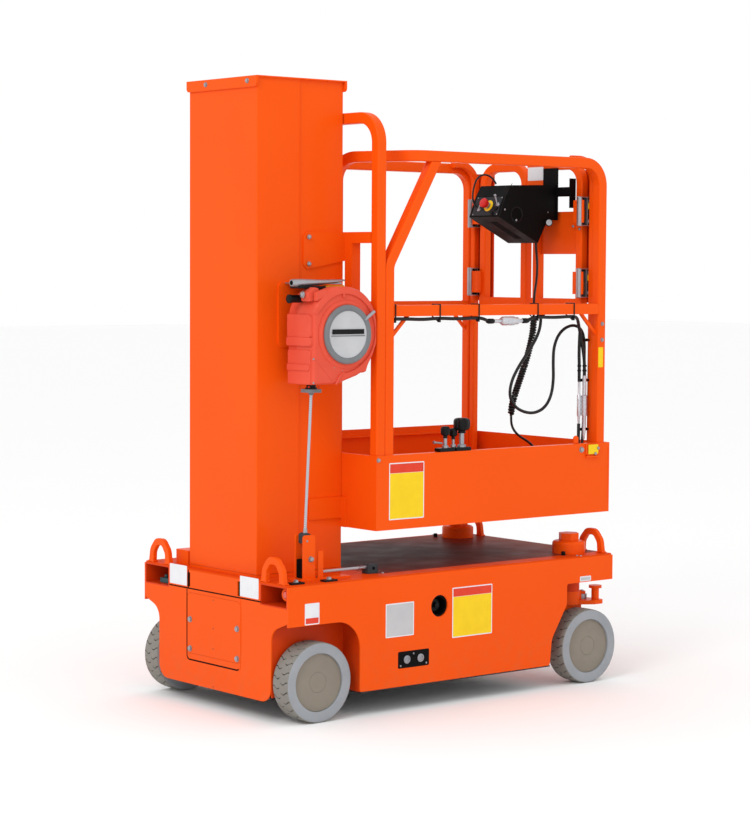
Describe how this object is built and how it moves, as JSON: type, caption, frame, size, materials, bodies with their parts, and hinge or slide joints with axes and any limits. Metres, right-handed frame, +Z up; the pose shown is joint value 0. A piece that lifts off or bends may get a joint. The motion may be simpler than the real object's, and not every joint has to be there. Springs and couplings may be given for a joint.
{
  "type": "vertical mast lift",
  "caption": "Self-propelled vertical mast lift: a low chassis on solid tyres, a telescoping mast with a cord reel and a railed platform that rises along it.",
  "frame": {"origin": "on the floor, midway between the axles and the sides", "axes": "+Z up, -X towards the mast end, +X towards the gate and steering end, -Y towards the side with the cord reel"},
  "size_m": [1.399, 0.78, 1.98],
  "materials": {
    "orange_paint": "gloss enamel",
    "tyre": "grey non-marking rubber",
    "wheel_hub": "matt grey paint",
    "reel_housing": "moulded plastic",
    "reel_face": "grey moulded plastic",
    "black_plastic": "satin black",
    "steel": "zinc plated",
    "battery": "cased",
    "cord": "grey sheath",
    "black_cord": "black sheath",
    "mast_section": "anodised"
  },
  "bodies": {
    "chassis": {"deck_plate": "orange_paint", "side_skirts": "orange_paint", "front_plate": "orange_paint", "access_panel": "orange_paint", "fork_pockets": "orange_paint", "chassis_walls": "orange_paint", "floor_pan": "orange_paint", "battery_block": "battery", "side_fittings": "black_plastic", "front_stubs": "steel", "rear_axle_beam": "orange_paint", "kingpin_caps": "orange_paint", "lifting_lugs": "orange_paint", "cord_anchor": "orange_paint", "deck_cord": "cord", "cord_blocks": "black_plastic", "deck_box": "orange_paint", "mast_column": "mast_section", "reel_cord": "cord"},
    "steer_near": {"knuckle_near": "orange_paint"},
    "steer_far": {"knuckle_far": "orange_paint"},
    "tie_rod": {"tie_rod": "steel"},
    "stage_1": {"stage_1": "mast_section"},
    "stage_2": {"stage_2": "mast_section"},
    "stage_3": {"stage_3": "mast_section"},
    "carriage": {"mast_case_front": "orange_paint", "mast_case_rear": "orange_paint", "mast_cap": "orange_paint", "case_plates": "orange_paint", "reel_housing": "reel_housing", "reel_disc": "reel_face", "reel_outlet": "black_plastic", "platform_tub": "orange_paint", "cage_hoop": "orange_paint", "cage_uprights": "orange_paint", "cage_braces": "orange_paint", "side_rails": "orange_paint", "gate_posts": "orange_paint", "tub_knobs": "black_plastic", "reel_hanger": "steel", "mid_rails": "orange_paint", "gate_hinges": "steel", "curly_cord": "black_cord", "cord_tail": "black_cord", "loop_cable": "black_cord", "rail_lead": "black_cord", "cord_fittings": "steel"},
    "gate_near": {"gate_leaf_near": "orange_paint", "control_box": "black_plastic", "control_bracket": "black_plastic", "box_cable": "black_cord"},
    "gate_far": {"gate_leaf_far": "orange_paint"},
    "wheel_front_near": {"tyre_front_near": "tyre", "hub_front_near": "wheel_hub"},
    "wheel_front_far": {"tyre_front_far": "tyre", "hub_front_far": "wheel_hub"},
    "wheel_rear_near": {"tyre_rear_near": "tyre", "hub_rear_near": "wheel_hub"},
    "wheel_rear_far": {"tyre_rear_far": "tyre", "hub_rear_far": "wheel_hub"}
  },
  "joints": [
    {"name": "wheel_front_near_spin", "type": "hinge", "parent": "chassis", "child": "wheel_front_near", "pos_m": [-0.575, -0.352, 0.1245], "axis": [0, 1, 0], "continuous": true},
    {"name": "wheel_front_far_spin", "type": "hinge", "parent": "chassis", "child": "wheel_front_far", "pos_m": [-0.575, 0.352, 0.1245], "axis": [0, 1, 0], "continuous": true},
    {"name": "wheel_rear_near_spin", "type": "hinge", "parent": "steer_near", "child": "wheel_rear_near", "pos_m": [0.575, -0.352, 0.1245], "axis": [0, 1, 0], "continuous": true},
    {"name": "wheel_rear_far_spin", "type": "hinge", "parent": "steer_far", "child": "wheel_rear_far", "pos_m": [0.575, 0.352, 0.1245], "axis": [0, 1, 0], "continuous": true},
    {"name": "steer_far", "type": "hinge", "parent": "chassis", "child": "steer_far", "pos_m": [0.575, 0.286, 0.29], "axis": [0, 0, 1], "range_deg": [-35, 35]},
    {"name": "steer_near", "type": "hinge", "parent": "chassis", "child": "steer_near", "pos_m": [0.575, -0.286, 0.29], "axis": [0, 0, 1], "range_deg": [-35, 35]},
    {"name": "tie_rod_pivot", "type": "hinge", "parent": "steer_far", "child": "tie_rod", "pos_m": [0.639, 0.286, 0.2783], "axis": [0, 0, 1], "range_deg": [-35, 35]},
    {"name": "lift", "type": "slide", "parent": "chassis", "child": "carriage", "axis": [0, 0, 1], "range_m": [0, 4.4], "deforming": ["reel_cord"]},
    {"name": "stage_1_slide", "type": "slide", "parent": "chassis", "child": "stage_1", "axis": [0, 0, 1], "range_m": [0, 1.1]},
    {"name": "stage_2_slide", "type": "slide", "parent": "chassis", "child": "stage_2", "axis": [0, 0, 1], "range_m": [0, 2.2]},
    {"name": "stage_3_slide", "type": "slide", "parent": "chassis", "child": "stage_3", "axis": [0, 0, 1], "range_m": [0, 3.3]},
    {"name": "gate_near", "type": "hinge", "parent": "carriage", "child": "gate_near", "pos_m": [0.623, -0.278, 1.467], "axis": [0, 0, 1], "range_deg": [0, 40], "stiffness_Nm_per_rad": 8, "springref_deg": -11.46},
    {"name": "gate_far", "type": "hinge", "parent": "carriage", "child": "gate_far", "pos_m": [0.623, 0.278, 1.467], "axis": [0, 0, -1], "range_deg": [0, 85], "stiffness_Nm_per_rad": 6, "springref_deg": -11.46}
  ],
  "couplings": [
    {"joint": "steer_near", "follows": "steer_far", "ratio": 1},
    {"joint": "tie_rod_pivot", "follows": "steer_far", "ratio": -1},
    {"joint": "stage_1_slide", "follows": "lift", "ratio": 0.25},
    {"joint": "stage_2_slide", "follows": "lift", "ratio": 0.5},
    {"joint": "stage_3_slide", "follows": "lift", "ratio": 0.75}
  ]
}
